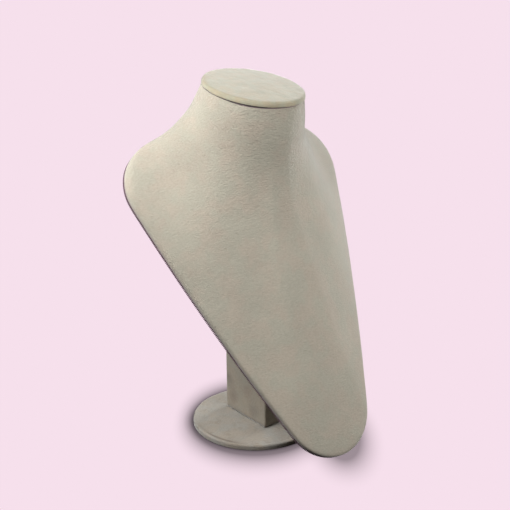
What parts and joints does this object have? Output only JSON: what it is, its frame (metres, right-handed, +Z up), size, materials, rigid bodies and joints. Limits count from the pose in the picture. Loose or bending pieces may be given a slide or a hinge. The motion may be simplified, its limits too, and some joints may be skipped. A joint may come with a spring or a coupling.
{
  "type": "necklace display bust",
  "caption": "Suede-covered necklace display bust: a hollow moulded chest and neck with a round flat cap, leaning forward on an upright board that stands on a thin round base.",
  "frame": {"origin": "centre of the base's underside, on the table", "axes": "+Z up; the bust faces -Y, with its tip leaning out over the front of the base; +X across the shoulders, to the right of someone who faces the same way as the camera at the front"},
  "size_m": [0.2488, 0.1921, 0.3518],
  "materials": {
    "suede": "beige-grey microfibre suede with a fine short nap",
    "moulding": "plain moulded plastic, off-white, unseen",
    "hardboard": "plain brown hardboard",
    "timber": "plain sawn softwood",
    "screw_steel": "plain zinc-plated steel",
    "felt": "thin black felt"
  },
  "bodies": {
    "root": {"front_cover": "suede", "back_cover": "suede", "neck_cap_cover": "suede", "post_cover": "suede", "base_cover": "suede", "bust_shell": "moulding", "back_board": "hardboard", "neck_cap_board": "hardboard", "base_board": "hardboard", "mounting_block": "timber", "post_board": "timber", "back_board_screws": "screw_steel", "mounting_block_screws": "screw_steel", "post_top_screws": "screw_steel", "base_screws": "screw_steel", "base_felt": "felt"}
  },
  "joints": []
}
